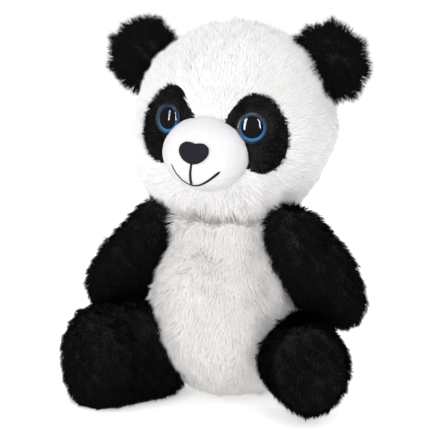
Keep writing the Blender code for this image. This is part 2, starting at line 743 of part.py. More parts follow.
def arm_frame(side):
    """Shoulder centre, direction down the arm, and the direction across it."""
    inner_edge = body_half_width(SHOULDER_HEIGHT - SHOULDER_RADIUS)
    shoulder = Vector((side * (inner_edge + SHOULDER_RADIUS + JOINT_GAP),
                       body_middle(SHOULDER_HEIGHT) - SHOULDER_AHEAD, SHOULDER_HEIGHT))
    down = Vector((side * math.sin(ARM_SPLAY), 0, -math.cos(ARM_SPLAY)))
    return shoulder, down, Vector((0, 1, 0)).cross(down).normalized()


ARM_KNOTS = (
    (0.0, -SHOULDER_RADIUS),
    (0.70 * SHOULDER_RADIUS, -0.71 * SHOULDER_RADIUS),
    (SHOULDER_RADIUS, 0.0),
    (ARM_BULGE, 0.50 * ARM_LENGTH),
    (PAW_RADIUS, 0.86 * ARM_LENGTH),
    (0.86 * PAW_RADIUS, ARM_LENGTH + 0.50 * PAW_RADIUS),
    (0.50 * PAW_RADIUS, ARM_LENGTH + 0.86 * PAW_RADIUS),
    (0.0, ARM_LENGTH + PAW_RADIUS),
)


def arm_form(name, side, inset):
    shoulder, down, across = arm_frame(side)

    def place(radius, height, cos, sin):
        return shoulder + down * height + across * radius * cos + Vector((0, radius * sin, 0))

    return cutter(pod(name, ARM_KNOTS, inset, place, 20, 12))


def half_space(name, point, normal, gap):
    """A big block on the side of a plane that its normal points to, gap away from it."""
    turn = normal.to_track_quat("Z", "Y").to_matrix().to_4x4()
    turn.translation = point
    square = [(-BIG, -BIG), (BIG, -BIG), (BIG, BIG), (-BIG, BIG)]
    return prism(name, square, gap, BIG, turn)


def make_arms():
    for word, side in SIDES:
        shoulder, down, across = arm_frame(side)
        outer = arm_form(f"{word}_arm_form", side, 0.0)
        inner = arm_form(f"{word}_arm_lining_form", side, CLOTH)
        outward = across * (1 if across.x * side > 0 else -1)
        half = SEAM_GAP / 2
        outside = half_space(f"{word}_arm_outside", shoulder, outward, half)
        inside = half_space(f"{word}_arm_inside", shoulder, -outward, half)
        panel(f"{word}_arm_outer_panel", outer, inner, [outside], [], "black_pile")
        panel(f"{word}_arm_inner_panel", outer, inner, [inside], [], "black_pile")
        core = arm_form(f"{word}_arm_core", side, CLOTH + STUFFING_GAP)
        put(copy_of(f"{word}_arm_stuffing", core), "stuffing")
        hang(f"{word}_shoulder_pivot", shoulder, [f"{word}_arm"])


LEG_KNOTS = (
    (0.0, 0.0),
    (0.60, 0.01),
    (0.88, 0.13),
    (0.95, 0.40),
    (0.98, 0.72),
    (1.00, 0.86),
    (0.93, 0.96),
    (0.78, 0.995),
    (0.0, 1.0),
)


def leg_frame(word, side):
    hip = Vector((side * (BODY_HALF_WIDTH - HIP_INSET), BODY_Y + HIP_BACK,
                  LEG_HALF_HEIGHT + LEG_RAISE[word]))
    spread = LEG_SPREAD[word]
    along = Vector((side * math.sin(spread), -math.cos(spread), 0))
    return hip, along, Vector((0, 0, 1)).cross(along)


def leg_form(name, word, side, inset):
    hip, along, across = leg_frame(word, side)
    knots = [(r * LEG_HALF_HEIGHT, h * LEG_LENGTH) for r, h in LEG_KNOTS]
    narrow = (LEG_HALF_WIDTH - inset) / (LEG_HALF_HEIGHT - inset)

    def place(radius, height, cos, sin):
        return (hip + along * height + across * radius * cos * narrow
                + Vector((0, 0, radius * sin)))

    return cutter(pod(name, knots, inset, place, 24, 13))


def make_legs():
    for word, side in SIDES:
        hip, along, across = leg_frame(word, side)
        outer = leg_form(f"{word}_leg_form", word, side, 0.0)
        inner = leg_form(f"{word}_leg_lining_form", word, side, CLOTH)
        body = body_form(f"torso_form_for_{word}_leg", -JOINT_GAP)
        seam = hip + along * (LEG_LENGTH - SOLE_SEAM)
        half = SEAM_GAP / 2
        toe_side = half_space(f"{word}_sole_region", seam, along, half)
        heel_side = half_space(f"{word}_leg_region", seam, -along, half)
        outward = across * (1 if across.y > 0 else -1)
        outside = half_space(f"{word}_leg_outside", hip, outward, half)
        inside = half_space(f"{word}_leg_inside", hip, -outward, half)
        panel(f"{word}_sole", outer, inner, [toe_side], [], "black_pile")
        panel(f"{word}_leg_outer_panel", outer, inner, [heel_side, outside], [body],
              "black_pile")
        panel(f"{word}_leg_inner_panel", outer, inner, [heel_side, inside], [body],
              "black_pile")
        core = leg_form(f"{word}_leg_core", word, side, CLOTH + STUFFING_GAP)
        filling = put(copy_of(f"{word}_leg_stuffing", core), "stuffing")
        boolean(filling, "DIFFERENCE", body)
        top = hip.z + 0.9 * LEG_HALF_HEIGHT
        crease = hip + along * (torso_reach(hip, along, top) + JOINT_GAP)
        crease.z = top
        hang(f"{word}_hip_pivot", crease, [f"{word}_leg", f"{word}_sole"])


make_torso()
make_tail()
make_label()
make_neck()
make_head()
make_muzzle()
hang_head()
make_ears()
make_arms()
make_legs()
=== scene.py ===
"""The look of the sitting plush panda: stuffed covers, fur, muzzle, eyes, stitching and studio."""

import math
from collections import namedtuple

import bmesh
import bpy
import numpy as np
from mathutils import Matrix, Vector
from mathutils.bvhtree import BVHTree


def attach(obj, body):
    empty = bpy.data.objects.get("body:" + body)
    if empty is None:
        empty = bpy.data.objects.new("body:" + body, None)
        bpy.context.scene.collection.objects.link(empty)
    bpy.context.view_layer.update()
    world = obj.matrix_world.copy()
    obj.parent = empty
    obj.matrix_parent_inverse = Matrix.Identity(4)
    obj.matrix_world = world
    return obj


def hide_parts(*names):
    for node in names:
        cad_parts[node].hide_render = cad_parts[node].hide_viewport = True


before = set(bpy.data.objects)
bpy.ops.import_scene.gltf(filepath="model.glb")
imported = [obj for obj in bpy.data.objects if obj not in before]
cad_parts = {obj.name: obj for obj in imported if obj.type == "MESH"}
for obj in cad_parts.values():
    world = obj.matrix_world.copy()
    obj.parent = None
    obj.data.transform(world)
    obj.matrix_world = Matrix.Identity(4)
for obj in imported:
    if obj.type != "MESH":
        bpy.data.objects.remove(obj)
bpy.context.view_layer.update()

SIDES = ("left", "right")
DOWN = np.array([0.0, 0.0, -1.0])

# all lengths are in metres


# ---------------------------------------------------------------- materials

class Value:
    """A shader socket that Python's own operators can be used on."""

    def __init__(self, nodes, socket):
        self.nodes = nodes
        self.socket = socket

    def maths(self, operation, first, second):
        return self.nodes.add("ShaderNodeMath", {"operation": operation}, [first, second])[0]

    def __add__(self, other):
        return self.maths("ADD", self, other)

    def __radd__(self, other):
        return self.maths("ADD", other, self)

    def __sub__(self, other):
        return self.maths("SUBTRACT", self, other)

    def __rsub__(self, other):
        return self.maths("SUBTRACT", other, self)

    def __mul__(self, other):
        return self.maths("MULTIPLY", self, other)

    def __rmul__(self, other):
        return self.maths("MULTIPLY", other, self)

    def __pow__(self, other):
        return self.maths("POWER", self, other)

    def clamped(self):
        return self.nodes.add("ShaderNodeClamp", {}, [self])[0]


class Nodes:
    """One material's nodes. add() takes a type, its settings and its inputs."""

    def __init__(self, name):
        self.material = bpy.data.materials.new(name)
        self.material.use_nodes = True
        self.tree = self.material.node_tree
        self.shader = self.tree.nodes["Principled BSDF"]

    def plug(self, socket, value):
        if isinstance(value, Value):
            self.tree.links.new(value.socket, socket)
        elif isinstance(value, (tuple, list)) and len(value) == 3 and socket.type == "RGBA":
            socket.default_value = (*value, 1.0)
        else:
            socket.default_value = value

    def add(self, kind, settings, inputs):
        """Inputs are a list, in the sockets' order, or a dictionary by name or number."""
        node = self.tree.nodes.new(kind)
        for key, value in settings.items():
            if key == "stops":
                self.set_stops(node.color_ramp, value)
            else:
                setattr(node, key, value)
        pairs = enumerate(inputs) if isinstance(inputs, list) else inputs.items()
        for key, value in pairs:
            self.plug(node.inputs[key], value)
        return [Value(self, socket) for socket in node.outputs]

    @staticmethod
    def set_stops(ramp, stops):
        while len(ramp.elements) < len(stops):
            ramp.elements.new(1.0)
        for element, (position, colour) in zip(ramp.elements, stops):
            element.position = position
            element.color = (*colour, 1.0)

    def set(self, **values):
        """Sets the shader's own sockets; an underscore in a name stands for a space."""
        for name, value in values.items():
            self.plug(self.shader.inputs[name.replace("_", " ")], value)
        return self

    def place(self):
        return self.add("ShaderNodeTexCoord", {}, {})[3]

    def noise(self, scale, detail=2.0, rough=0.5, at=None):
        made = self.add("ShaderNodeTexNoise", {}, {
            "Vector": at or self.place(), "Scale": scale, "Detail": detail, "Roughness": rough})
        return made[0]

    def mix(self, share, first, second):
        made = self.add("ShaderNodeMix", {"data_type": "RGBA"}, {0: share, 6: first, 7: second})
        return made[2]

    def ramp(self, value, *stops):
        return self.add("ShaderNodeValToRGB", {"stops": stops}, [value])[0]

    def bump(self, height, depth, strength=1.0):
        made = self.add("ShaderNodeBump", {}, {
            "Height": height, "Distance": depth, "Strength": strength})
        return made[0]


# ---------------------------------------------------------------- finishes

def fur_finish(name, root, tip, shade, gloss, painted_glow):
    """Pile, coloured along each fibre and a little from fibre to fibre. Its glow is painted light:
    an even emission that keeps the fibres bright in their shade too, in place of the light that
    white fibres pass on."""
    made = Nodes(name)
    place = made.add("ShaderNodeUVMap", {"uv_map": "OFBake"}, {})[0]
    across, along, _ = made.add("ShaderNodeSeparateXYZ", {}, [place])
    fibre = made.noise(300.0, 0.0, at=made.add("ShaderNodeCombineXYZ", {}, [across])[0])
    colour = made.mix(along ** 0.7, root, tip)
    # painted light: the emission set here is a painted glow, not a lamp
    made.set(Base_Color=made.mix((fibre - 0.5) * 1.6 + 0.45, shade, colour),
             Roughness=0.8, Specular_IOR_Level=gloss,
             Emission_Color=(1.0, 0.985, 0.97), Emission_Strength=painted_glow)
    return made.material


def backing_finish(name, dark, light):
    """Knitted backing cloth under the pile."""
    made = Nodes(name)
    patches = made.noise(60.0, 3.0)
    loops = made.add("ShaderNodeTexVoronoi", {}, {
        "Vector": made.place(), "Scale": 900.0})[0]
    made.set(Base_Color=made.mix(patches, dark, light), Roughness=0.95,
             Normal=made.bump(loops, 0.0004, 0.6))
    return made.material


def velour_finish():
    """Short smooth velour: fine pile that shades softly, a little matted in places."""
    made = Nodes("muzzle_velour")
    soft = made.noise(45.0, 3.0)
    pile = made.noise(1500.0, 2.0, 0.7)
    nap = made.noise(220.0, 3.0, 0.6)
    colour = made.mix(soft, (0.56, 0.54, 0.55), (0.63, 0.61, 0.615))
    made.set(Base_Color=made.mix(pile * 0.4, colour, (0.70, 0.685, 0.69)),
             Roughness=0.85, Specular_IOR_Level=0.15,
             Normal=made.bump(pile + nap * 0.8, 0.00025, 0.55))
    return made.material


def felt_finish():
    """Dark satin felt of the nose, with its fibres."""
    made = Nodes("nose_felt")
    fibres = made.noise(1200.0, 3.0, 0.7)
    flecks = made.noise(2600.0, 1.0)
    colour = made.mix(fibres, (0.005, 0.005, 0.009), (0.012, 0.013, 0.021))
    made.set(Base_Color=made.mix((flecks - 0.66) * 6, colour, (0.09, 0.09, 0.11)),
             Roughness=0.62 + fibres * 0.2, Specular_IOR_Level=0.2,
             Normal=made.bump(fibres, 0.0003, 0.7))
    return made.material


def thread_finish():
    """Embroidery thread, laid in slanting stitches."""
    made = Nodes("mouth_thread")
    twist = made.add("ShaderNodeTexWave", {"bands_direction": "DIAGONAL"}, {
        "Vector": made.place(), "Scale": 520.0, "Distortion": 1.0})[1]
    made.set(Base_Color=made.mix(twist, (0.006, 0.006, 0.010), (0.022, 0.022, 0.030)),
             Roughness=0.5 + twist * 0.2, Specular_IOR_Level=0.25,
             Normal=made.bump(twist, 0.0003, 0.6))
    return made.material


def satin_finish():
    """Woven satin ribbon of the blank label."""
    made = Nodes("label_satin")
    weave = made.add("ShaderNodeTexWave", {"bands_direction": "Z"}, {
        "Vector": made.place(), "Scale": 900.0, "Distortion": 0.6})[1]
    made.set(Base_Color=made.mix(weave, (0.80, 0.80, 0.79), (0.92, 0.92, 0.90)),
             Roughness=0.38 + weave * 0.12, Normal=made.bump(weave, 0.0002, 0.5))
    return made.material


def filling_finish():
    """Loose polyester fibre."""
    made = Nodes("stuffing_fibre")
    strands = made.noise(700.0, 5.0, 0.75)
    clouds = made.noise(90.0, 3.0)
    made.set(Base_Color=made.mix(clouds, (0.80, 0.80, 0.79), (0.93, 0.93, 0.92)),
             Roughness=0.95, Normal=made.bump(strands + clouds * 2, 0.0012, 0.8))
    return made.material


def plain_weave_finish():
    """Plain cotton cloth of the pellet bag."""
    made = Nodes("pellet_bag_cloth")
    place = made.place()
    warp = made.add("ShaderNodeTexWave", {"bands_direction": "X"}, {
        "Vector": place, "Scale": 420.0})[1]
    weft = made.add("ShaderNodeTexWave", {"bands_direction": "Y"}, {
        "Vector": place, "Scale": 420.0})[1]
    made.set(Base_Color=made.mix(warp * weft, (0.62, 0.60, 0.55), (0.80, 0.78, 0.73)),
             Roughness=0.9, Normal=made.bump(warp + weft, 0.0003, 0.6))
    return made.material


def moulded_finish(name, colour, roughness, coat):
    """Moulded plastic, with faint flow marks and handling marks."""
    made = Nodes(name)
    flow = made.noise(160.0, 3.0)
    dark = tuple(0.85 * part for part in colour)
    made.set(Base_Color=made.mix(flow, dark, colour), Roughness=roughness + flow * 0.06,
             Coat_Weight=coat, Coat_Roughness=0.03)
    return made.material


# ---------------------------------------------------------------- stuffed forms

FILLING_PRESSURE = 4.0
BACKING_STIFFNESS = 12.0
CLOTH_STEPS = 20


def rows_of(items, what):
    values = np.empty(len(items) * 3)
    items.foreach_get(what, values)
    return values.reshape(-1, 3)


def points_of(obj):
    return rows_of(obj.data.vertices, "co")


def set_points(obj, points):
    obj.data.vertices.foreach_set("co", np.ascontiguousarray(points, np.float32).ravel())
    obj.data.update()


def normals_of(obj):
    return rows_of(obj.data.vertices, "normal")


def unit(vectors):
    return vectors / np.maximum(np.linalg.norm(vectors, axis=-1, keepdims=True), 1e-12)


def waves(points, length, seed, count=9):
    """A smooth random field: its value and its slope, both near 1, at each point."""
    rng = np.random.default_rng(seed)
    ways = unit(rng.normal(size=(count, 3)))
    ways *= rng.uniform(0.7, 1.4, (count, 1))
    angle = points @ ways.T * (math.tau / length) + rng.uniform(0, math.tau, count)
    share = math.sqrt(2 / count)
    return np.sin(angle).sum(1) * share, np.cos(angle) @ ways * share


def new_piece(name, bm):
    """A piece of the scene from a bmesh, which is then freed."""
    mesh = bpy.data.meshes.new(name)
    bm.to_mesh(mesh)
    bm.free()
    obj = bpy.data.objects.new(name, mesh)
    bpy.context.scene.collection.objects.link(obj)
    return obj


def within(values):
    return np.clip(values, 0, 1)


def settled(obj):
    """The mesh with its modifiers worked in."""
    graph = bpy.context.evaluated_depsgraph_get()
    mesh = bpy.data.meshes.new_from_object(obj.evaluated_get(graph))
    obj.modifiers.clear()
    old = obj.data
    obj.data = mesh
    bpy.data.meshes.remove(old)


def keep_outer_skin(mesh):
    """Drops the skins of gaps inside a form, which the remesh leaves as separate pieces."""
    bm = bmesh.new()
    bm.from_mesh(mesh)
    left = set(bm.verts)
    skins = []
    while left:
        found = {left.pop()}
        edge = list(found)
        while edge:
            near = {e.other_vert(v) for v in edge for e in v.link_edges} - found
            found |= near
            edge = list(near)
        left -= found
        skins.append(found)
    skins.sort(key=len)
    bmesh.ops.delete(bm, geom=[v for skin in skins[:-1] for v in skin], context="VERTS")
    bm.to_mesh(mesh)
    bm.free()


def wrapped(name, nodes, voxel, rolls=()):
    """One closed form, in even faces, round some CAD nodes, and round soft rolls of
    (middle, half sizes) where the filling is pushed together."""
    bm = bmesh.new()
    for node in nodes:
        bm.from_mesh(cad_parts[node].data)
    for middle, halves in rolls:
        at = Matrix.Translation(middle) @ Matrix.Diagonal((*halves, 1.0))
        bmesh.ops.create_icosphere(bm, subdivisions=4, radius=1.0, matrix=at)
    obj = new_piece(name, bm)
    remesh = obj.modifiers.new("even_faces", "REMESH")
    remesh.mode = "VOXEL"
    remesh.voxel_size = voxel
    settled(obj)
    keep_outer_skin(obj.data)
    obj.data.shade_smooth()
    return obj


def eased(obj, times, swell=0.0):
    """Smooths a form, then moves it out along its normals."""
    bm = bmesh.new()
    bm.from_mesh(obj.data)
    for _ in range(times):
        bmesh.ops.smooth_vert(bm, verts=bm.verts, factor=0.5, use_axis_x=True,
                              use_axis_y=True, use_axis_z=True)
    bm.normal_update()
    for vert in bm.verts:
        vert.co += vert.normal * swell
    bm.to_mesh(obj.data)
    bm.free()


def nearest_panel(points, panels):
    """Which of some CAD panels each point lies nearest to, by its place in the list."""
    corners = []
    faces = []
    owner = []
    for number, panel in enumerate(panels):
        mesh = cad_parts[panel].data
        first = len(corners)
        corners += [vert.co.copy() for vert in mesh.vertices]
        for face in mesh.polygons:
            faces.append([first + i for i in face.vertices])
            owner.append(number)
    tree = BVHTree.FromPolygons(corners, faces)
    return np.array([owner[tree.find_nearest(Vector(point))[2]] for point in points])


def seam_group(obj, panels):
    """Marks the points along the seams, where the nearest panel changes."""
    near = nearest_panel(points_of(obj), panels)
    ends = np.array([edge.vertices[:] for edge in obj.data.edges])
    crossing = ends[near[ends[:, 0]] != near[ends[:, 1]]]
    group = obj.vertex_groups.new(name="seams")
    group.add([int(i) for i in np.unique(crossing)], 1.0, "REPLACE")


def stuffed(obj, panels, most):
    """Fills a form: its cloth swells under pressure, held at its seams, by up to most."""
    if len(panels) > 1:
        seam_group(obj, panels)
    start = points_of(obj)
    cloth = obj.modifiers.new("cloth", "CLOTH")
    cloth.settings.quality = 4
    cloth.settings.use_pressure = True
    cloth.settings.uniform_pressure_force = FILLING_PRESSURE
    cloth.settings.effector_weights.gravity = 0.0
    cloth.settings.tension_stiffness = BACKING_STIFFNESS
    cloth.settings.compression_stiffness = BACKING_STIFFNESS
    if len(panels) > 1:
        cloth.settings.vertex_group_mass = "seams"
        cloth.settings.pin_stiffness = 1.0
    for step in range(1, CLOTH_STEPS + 1):
        bpy.context.scene.frame_set(step)
    settled(obj)
    bpy.context.scene.frame_set(1)
    moved = points_of(obj) - start
    far = np.linalg.norm(moved, axis=1, keepdims=True)
    set_points(obj, start + unit(moved) * most * (1 - np.exp(-far / most)))


def finer(obj):
    """Cuts each face in four, smoothly."""
    level = obj.modifiers.new("finer", "SUBSURF")
    level.levels = 1
    level.render_levels = 1
    settled(obj)
    obj.data.shade_smooth()


def lumpy(obj, depth, length, seed):
    """The uneven swell of hand-packed stuffing."""
    points = points_of(obj)
    value, _ = waves(points, length, seed)
    fine, _ = waves(points, length / 3, seed + 1)
    set_points(obj, points + normals_of(obj) * (value + 0.35 * fine)[:, None] * depth)


# ---------------------------------------------------------------- pile

ROOT_DEPTH = 0.0006     # how far below the cloth a fibre starts
BARE = 0.05             # below this share of its length a fibre is left out
LOWEST_FIBRE = 0.0003   # over the floor
LEAST_NAP = 0.6         # a nap that points into the cloth isn't stretched beyond this
CLUMP_SEED, PATCH_SEED = 11, 23
FIBRE_POINTS = 5        # two at the root, two halfway and the tip
FIBRE_CORNERS = 7       # of its two faces


def roots_on(obj, density, seed):
    """Where fibres grow: places spread evenly over a form, and its normals there."""
    mesh = obj.data
    mesh.calc_loop_triangles()
    corners = np.empty(len(mesh.loop_triangles) * 3, dtype=np.int32)
    mesh.loop_triangles.foreach_get("vertices", corners)
    corners = corners.reshape(-1, 3)
    points, normals = points_of(obj)[corners], normals_of(obj)[corners]
    area = np.linalg.norm(np.cross(points[:, 1] - points[:, 0],
                                   points[:, 2] - points[:, 0]), axis=1) / 2
    rng = np.random.default_rng(seed)
    count = int(area.sum() * density)
    along = (np.arange(count) + rng.uniform(0, 1, count)) / count * area.sum()
    pick = np.minimum(np.searchsorted(np.cumsum(area), along), len(area) - 1)
    first, second = np.sqrt(rng.uniform(0, 1, count)), rng.uniform(0, 1, count)
    share = np.stack([1 - first, first * (1 - second), first * second], axis=1)[:, :, None]
    return (points[pick] * share).sum(1), unit((normals[pick] * share).sum(1))


# How the pile of one cloth looks: fibres a square metre, their length and width, how far
# they lean with the nap, how strongly and at what size they clump, and how far they stray.
Fur = namedtuple("Fur", "density length width lean clump clump_size stray")


def fibres(name, roots, normals, nap, fur, reach, finish, seed):
    """A mesh of tapered bent ribbons, one a fibre."""
    rng = np.random.default_rng(seed)
    count = len(roots)
    nap = nap - normals * (nap * normals).sum(1, keepdims=True)
    nap = nap / np.maximum(np.linalg.norm(nap, axis=1, keepdims=True), LEAST_NAP)
    value, slope = waves(roots, fur.clump_size, CLUMP_SEED)
    wide, wide_slope = waves(roots, fur.clump_size * 4, PATCH_SEED)
    pull = (slope * 0.75 + wide_slope * 0.55) * fur.clump
    pull -= normals * (pull * normals).sum(1, keepdims=True)
    stray = rng.normal(size=(count, 3)) * fur.stray
    way = unit(normals + nap * fur.lean + pull + stray)
    bent = unit(way + nap * 0.35 * fur.lean + pull * 0.5 - normals * 0.12 + stray * 0.5)
    length = fur.length * reach * rng.uniform(0.72, 1.12, count)
    length = length * (1 + 0.10 * value + 0.06 * wide)
    side = unit(np.cross(way, normals) + 1e-6)
    turn = rng.uniform(-0.8, 0.8, count)[:, None]
    side = unit(side * np.cos(turn) + np.cross(way, side) * np.sin(turn))
    half = side * (fur.width / 2 * rng.uniform(0.75, 1.25, count))[:, None]
    base = roots - normals * ROOT_DEPTH
    middle = base + way * (length * 0.5)[:, None]
    tip = middle + bent * (length * 0.5)[:, None]
    points = np.stack([base - half, base + half, middle + half * 0.8,
                       middle - half * 0.8, tip], axis=1)
    low = LOWEST_FIBRE + rng.uniform(0, 0.0006, count)
    points[:, :, 2] = np.maximum(points[:, :, 2], low[:, None])
    out = (np.cross(points[:, 1] - points[:, 0], points[:, 4] - points[:, 0])
           * normals).sum(1) < 0
    points[out] = points[out][:, [1, 0, 3, 2, 4]]

    first = np.arange(count) * FIBRE_POINTS
    loops = np.stack([first, first + 1, first + 2, first + 3,
                      first + 3, first + 2, first + 4], axis=1)
    mesh = bpy.data.meshes.new(name)
    mesh.vertices.add(count * FIBRE_POINTS)
    mesh.vertices.foreach_set("co", points.astype(np.float32).ravel())
    mesh.loops.add(count * FIBRE_CORNERS)
    mesh.loops.foreach_set("vertex_index", loops.astype(np.int32).ravel())
    mesh.polygons.add(count * 2)
    start = np.arange(count) * FIBRE_CORNERS
    start = np.stack([start, start + 4], axis=1)
    mesh.polygons.foreach_set("loop_start", start.astype(np.int32).ravel())
    mesh.update(calc_edges=True)

    across = rng.uniform(0.02, 0.98, count)[:, None] + np.array(
        [-0.002, 0.002, 0.002, -0.002, -0.002, 0.002, 0.0])
    along = np.tile([0.02, 0.02, 0.5, 0.5, 0.5, 0.5, 0.98], (count, 1))
    layer = mesh.uv_layers.new(name="OFBake")
    layer.data.foreach_set("uv", np.stack([across, along], axis=2).astype(np.float32).ravel())
    soft = unit(normals + (way - normals) * 0.35 + rng.normal(size=(count, 3)) * 0.10)
    mesh.shade_smooth()
    mesh.normals_split_custom_set_from_vertices(np.repeat(soft, FIBRE_POINTS, axis=0).tolist())
    obj = bpy.data.objects.new(name, mesh)
    bpy.context.scene.collection.objects.link(obj)
    mesh.materials.append(finish)
    return obj


def grow(cover, body, panels, piles, nap_at, reach_at, seed):
    """The pile of one stuffed part. piles says, for each panel that has pile, which piece it
    belongs to, its finish, its fur and a slot name, which is not used."""
    fullest = max(fur.density for _, _, fur, _ in piles.values())
    share = 1.0
    roots, normals = roots_on(cover, fullest * share, seed)
    near = nearest_panel(roots, panels)
    rng = np.random.default_rng(seed + 5)
    dice = rng.uniform(0, 1, len(roots))
    nap = nap_at(roots, normals)
    reach = reach_at(roots)
    groups = {}
    for number, panel in enumerate(panels):
        if panel in piles:
            groups.setdefault(piles[panel], []).append(number)
    for (name, finish, fur, slot), numbers in groups.items():
        chosen = np.isin(near, numbers) & (dice < fur.density / fullest) & (reach > BARE)
        wide = fur._replace(width=fur.width / math.sqrt(share))
        piece = fibres(name, roots[chosen], normals[chosen], nap[chosen], wide,
                       reach[chosen], finish, seed + 9)
        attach(piece, body)


def downwards(roots, normals):
    return np.tile(DOWN, (len(roots), 1)) + normals * 0.01


def even(roots):
    return np.ones(len(roots))


# ---------------------------------------------------------------- stuffed parts

WHITE_BACKING = backing_finish("white_backing", (0.70, 0.69, 0.68), (0.82, 0.81, 0.80))
BLACK_BACKING = backing_finish("black_backing", (0.004, 0.004, 0.005), (0.010, 0.010, 0.011))
# white pile: its last number is a painted glow, an emission that brightens the fibres in their
# shade
WHITE_FUR = fur_finish("white_pile", (0.74, 0.725, 0.71), (0.92, 0.905, 0.89),
                       (0.86, 0.845, 0.83), 0.15, 0.10)
# painted shade: a darker, warmer copy of the white pile for the belly, lower back and seat, with a
# weaker painted glow
BELLY_FUR_PAINTED_SHADE = fur_finish("belly_pile_painted_shade", (0.66, 0.64, 0.62), (0.87, 0.85, 0.83),
                       (0.80, 0.775, 0.755), 0.12, 0.075)
BLACK_FUR = fur_finish("black_pile", (0.002, 0.002, 0.002), (0.007, 0.007, 0.008),
                       (0.003, 0.003, 0.0035), 0.07, 0.0)

FACE = Fur(1.60e6, 0.0066, 0.00044, 0.72, 0.13, 0.011, 0.11)
BELLY = Fur(1.40e6, 0.0074, 0.00048, 0.82, 0.22, 0.014, 0.13)
BLACK = Fur(1.25e6, 0.0074, 0.00055, 0.85, 0.34, 0.011, 0.15)
PATCH = Fur(1.80e6, 0.0038, 0.00048, 0.65, 0.26, 0.008, 0.15)
EAR = Fur(1.80e6, 0.0108, 0.00052, 0.55, 0.42, 0.010, 0.22)
SOLE = Fur(1.30e6, 0.0058, 0.00052, 0.60, 0.34, 0.010, 0.15)

LUMP_LENGTH = 0.055     # from one swell of the stuffing to the next
LOWEST_CLOTH = 0.0004   # over the floor


def spot(node):
    """The middle of a CAD node's points."""
    return points_of(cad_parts[node]).mean(0)


def cover_of(name, body, panels, inner, black, *, voxel, shrink, most, lumps, seed,
             rolls=(), shape=None, rounding=2):
    """One stuffed part's cloth: wrapped round its CAD nodes, drawn in by shrink, filled
    by up to most, with lumps of that depth, and black where it meets the black panels."""
    cover = wrapped(name, panels + inner, voxel, rolls)
    eased(cover, 2, -shrink)
    stuffed(cover, panels, most)
    finer(cover)
    eased(cover, rounding)
    if shape:
        set_points(cover, shape(points_of(cover)))
    lumpy(cover, lumps, LUMP_LENGTH, seed)
    cover.data.materials.append(WHITE_BACKING)
    cover.data.materials.append(BLACK_BACKING)
    near = nearest_panel(rows_of(cover.data.polygons, "center"), panels)
    dark = np.isin(near, [panels.index(panel) for panel in black])
    cover.data.polygons.foreach_set("material_index", dark.astype(np.int32))
    cover.data.update()
    points = points_of(cover)
    points[:, 2] = np.maximum(points[:, 2], LOWEST_CLOTH)
    set_points(cover, points)
    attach(cover, body)
    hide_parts(*panels, *inner)
    return cover


def make_head():
    panels = [side + part for part in ("_face_panel", "_head_back_panel", "_eye_patch")
              for side in SIDES]
    patches = ["left_eye_patch", "right_eye_patch"]
    middle = spot("head_stuffing")

    def settled_weight(points):
        """Hand-packed: on its left it is fuller at crown and cheek and slimmer at the
        jowl, on its right fuller, most at the jowl, and the chin hangs a little."""
        left, height = (points - middle)[:, 0], (points - middle)[:, 2]
        jowl = within((-height - 0.010) / 0.035) * within(left / 0.06)
        cheek = within(1 - abs(height + 0.005) / 0.035) * within(left / 0.05)
        crown = within(height / 0.06) * within(0.15 + left / 0.06)
        right = within(-left / 0.05)
        chin = within((-height - 0.034) / 0.02)
        points = points.copy()
        points[:, 0] += -0.0090 * jowl - right * (0.0026 + 0.0022 * within(-height / 0.04))
        points[:, 0] += 0.0016 * cheek
        points[:, 2] += 0.0048 * crown - 0.0030 * chin
        return points

    cover = cover_of("head_cover", "head", panels, ["head_stuffing"], patches,
                     voxel=0.0040, shrink=0.0012, most=0.0036, lumps=0.0007, seed=31,
                     shape=settled_weight)
    muzzle = spot("muzzle_cover")
    eyes = [(spot(side + "_pupil"), unit(spot(side + "_pupil") - spot(side + "_eye_washer")))
            for side in SIDES]
    eye_radius = np.ptp(points_of(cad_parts["left_eye_back"])[:, 2]) / 2
    across = np.ptp(points_of(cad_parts["muzzle_cover"])[:, 0]) / 2
    upright = np.ptp(points_of(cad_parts["muzzle_cover"])[:, 2]) / 2
    eye_ring, patch, eye_depth = 0.004, 0.02, 0.02
    # shares of the muzzle's half sizes: bare within the first, short out to the last
    bare, short, fading, past_muzzle = 0.93, 1.02, 0.35, 1.7

    def nap_at(roots, normals):
        """Away from the muzzle and the eyes in front, and down behind."""
        outwards = unit(roots - muzzle)
        behind = within((roots[:, 1:2] - middle[1] + 0.01) / 0.03)
        nap = outwards * (1 - behind) + DOWN * behind
        for eye, axis in eyes:
            off = roots - eye
            off = off - axis * (off @ axis)[:, None]
            far = np.linalg.norm(off, axis=1, keepdims=True)
            near = np.exp(-(np.maximum(far - eye_radius, 0) / eye_ring) ** 2)
            nap = nap + unit(off) * 1.1 * near + DOWN * 0.9 * np.exp(-(far / patch) ** 4)
        return nap

    def reach_at(roots):
        """None under muzzle and eyes, short round them, and long at the neck."""
        off = roots - muzzle
        edge = np.hypot(off[:, 0] / across, off[:, 2] / upright)
        reach = np.where((off[:, 1] < 0.035) & (edge < past_muzzle),
                         0.55 + 0.45 * within((edge - short) / fading), 1.0)
        reach = np.where((edge < bare) & (roots[:, 1] < middle[1]), 0.0, reach)
        neck = within((middle[2] - 0.036 - roots[:, 2]) / 0.018)
        neck *= within(1.5 - abs(roots[:, 0]) / 0.040)
        reach = reach * (1 + 1.1 * neck)
        for eye, axis in eyes:
            off = roots - eye
            along = off @ axis
            far = np.linalg.norm(off - axis * along[:, None], axis=1)
            near = 0.42 + 0.58 * within((far - eye_radius) / 0.006)
            beside = along > -eye_depth
            reach = np.where(beside, reach * near, reach)
            reach = np.where((far < eye_radius + 0.0002) & beside, 0.0, reach)
        return reach

    piles = {}
    for side in SIDES:
        piles[side + "_face_panel"] = (side + "_face_pile", WHITE_FUR, FACE, "white_pile")
        piles[side + "_head_back_panel"] = (side + "_head_back_pile", WHITE_FUR, BELLY,
                                            "white_pile")
        piles[side + "_eye_patch"] = (side + "_patch_pile", BLACK_FUR, PATCH, "black_pile")
    grow(cover, "head", panels, piles, nap_at, reach_at, 41)


